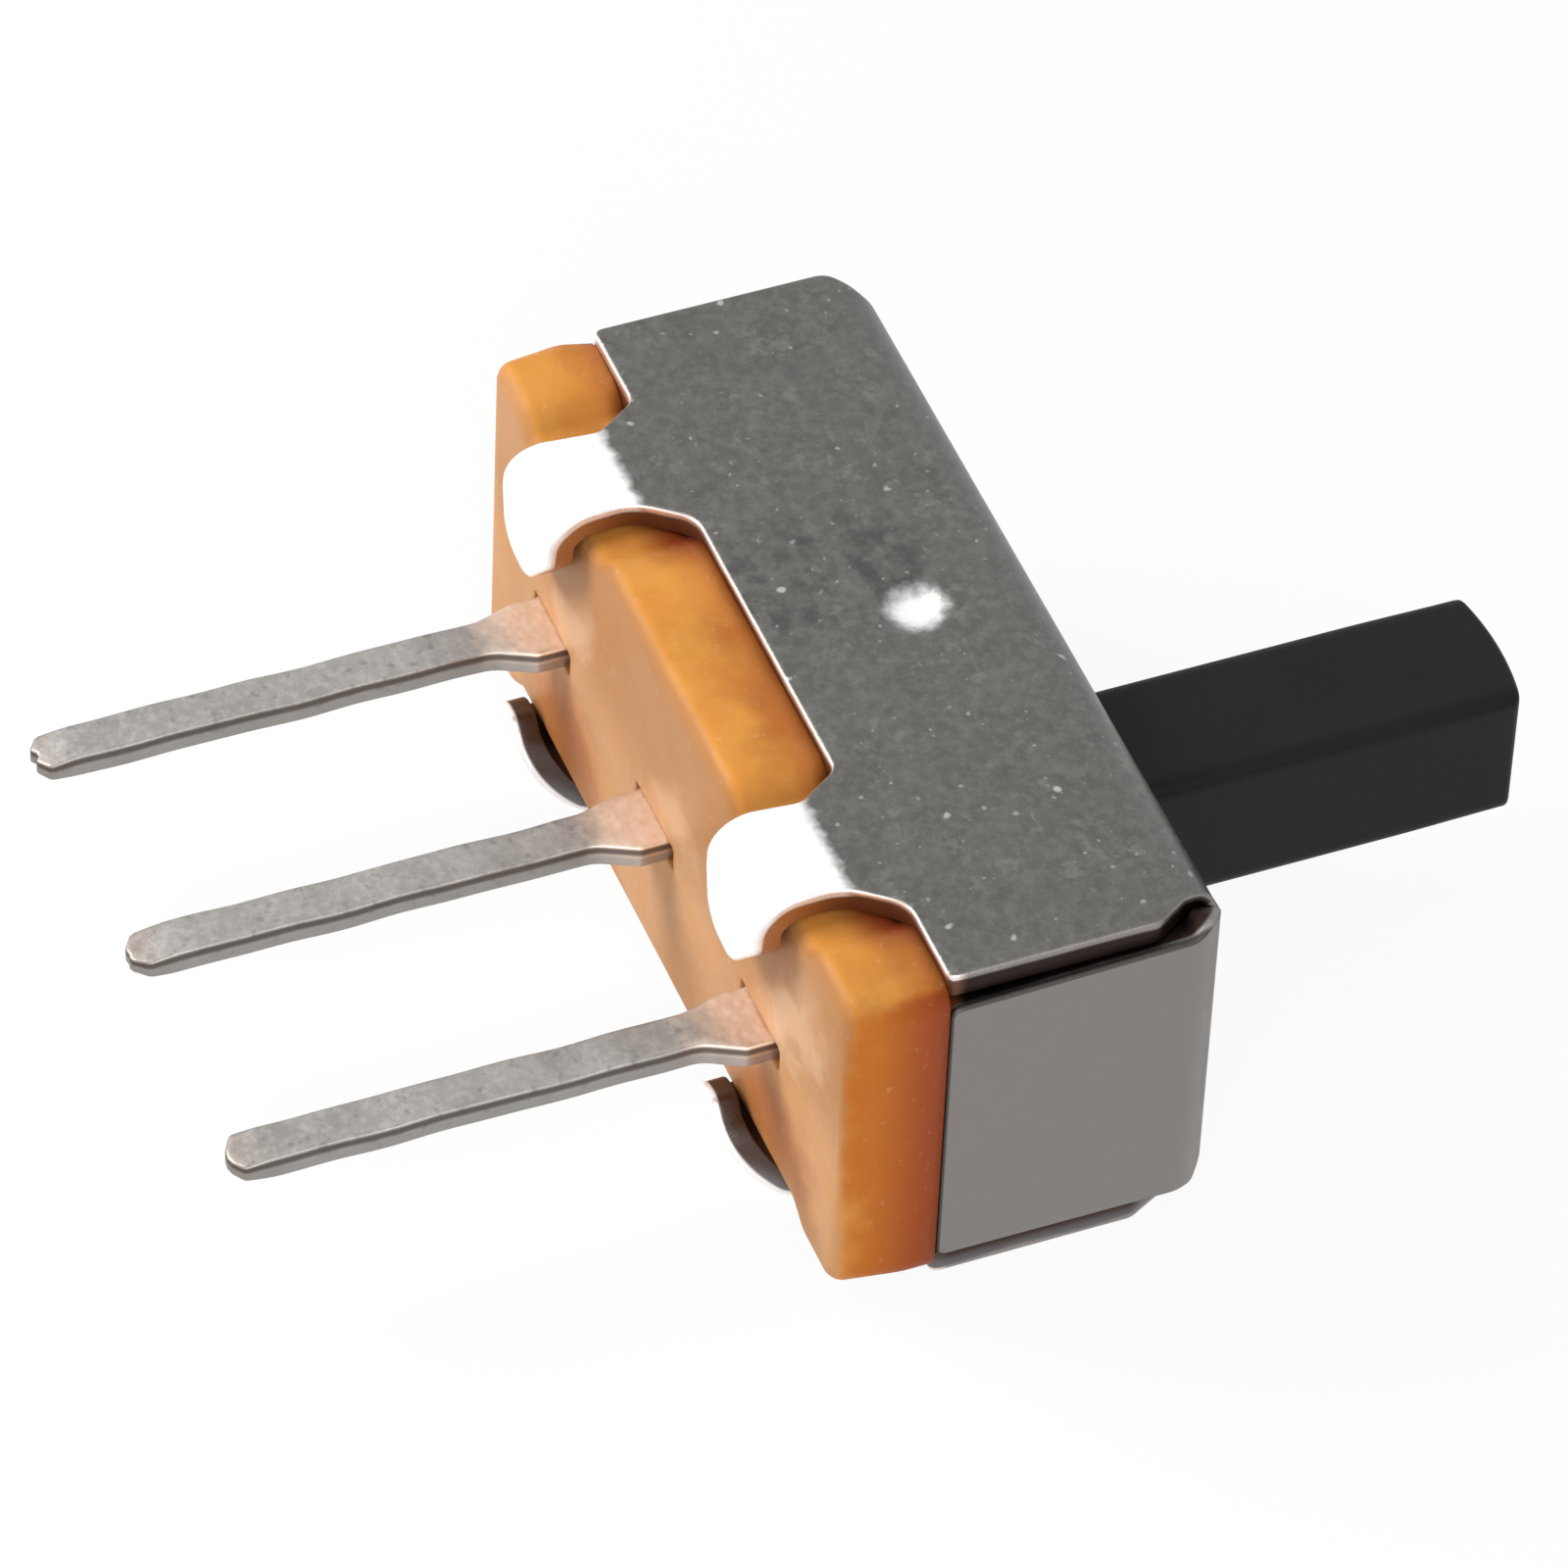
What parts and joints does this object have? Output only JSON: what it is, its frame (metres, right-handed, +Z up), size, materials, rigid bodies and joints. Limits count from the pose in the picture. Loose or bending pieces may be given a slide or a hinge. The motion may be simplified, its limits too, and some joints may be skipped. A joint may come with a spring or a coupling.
{
  "type": "slide switch",
  "caption": "Miniature slide switch with a folded steel case, moulded base, long square lever and straight terminals in a row.",
  "frame": {"origin": "on the outer face of the long case wall that the switch lies on, under the middle of the lever's travel and half way along the case's depth", "axes": "+X along the lever's travel, +Y from the board seat towards the lever's tip, +Z up from the wall the switch lies on"},
  "size_m": [0.0086, 0.0122, 0.0037],
  "materials": {
    "plated_steel": "satin plated sheet with fine mottle",
    "moulded_resin": "satin orange-brown moulding",
    "tinned_brass": "dull tin plating",
    "black_plastic": "satin black moulding",
    "spring_bronze": "bright rolled strip"
  },
  "bodies": {
    "housing": {"case": "plated_steel", "base": "moulded_resin", "terminal_left": "tinned_brass", "terminal_middle": "tinned_brass", "terminal_right": "tinned_brass"},
    "slider": {"slider": "black_plastic", "contact_clip": "spring_bronze"}
  },
  "joints": [
    {"name": "slider_travel", "type": "slide", "parent": "housing", "child": "slider", "axis": [1, 0, 0], "range_m": [-0.002, 0]}
  ]
}
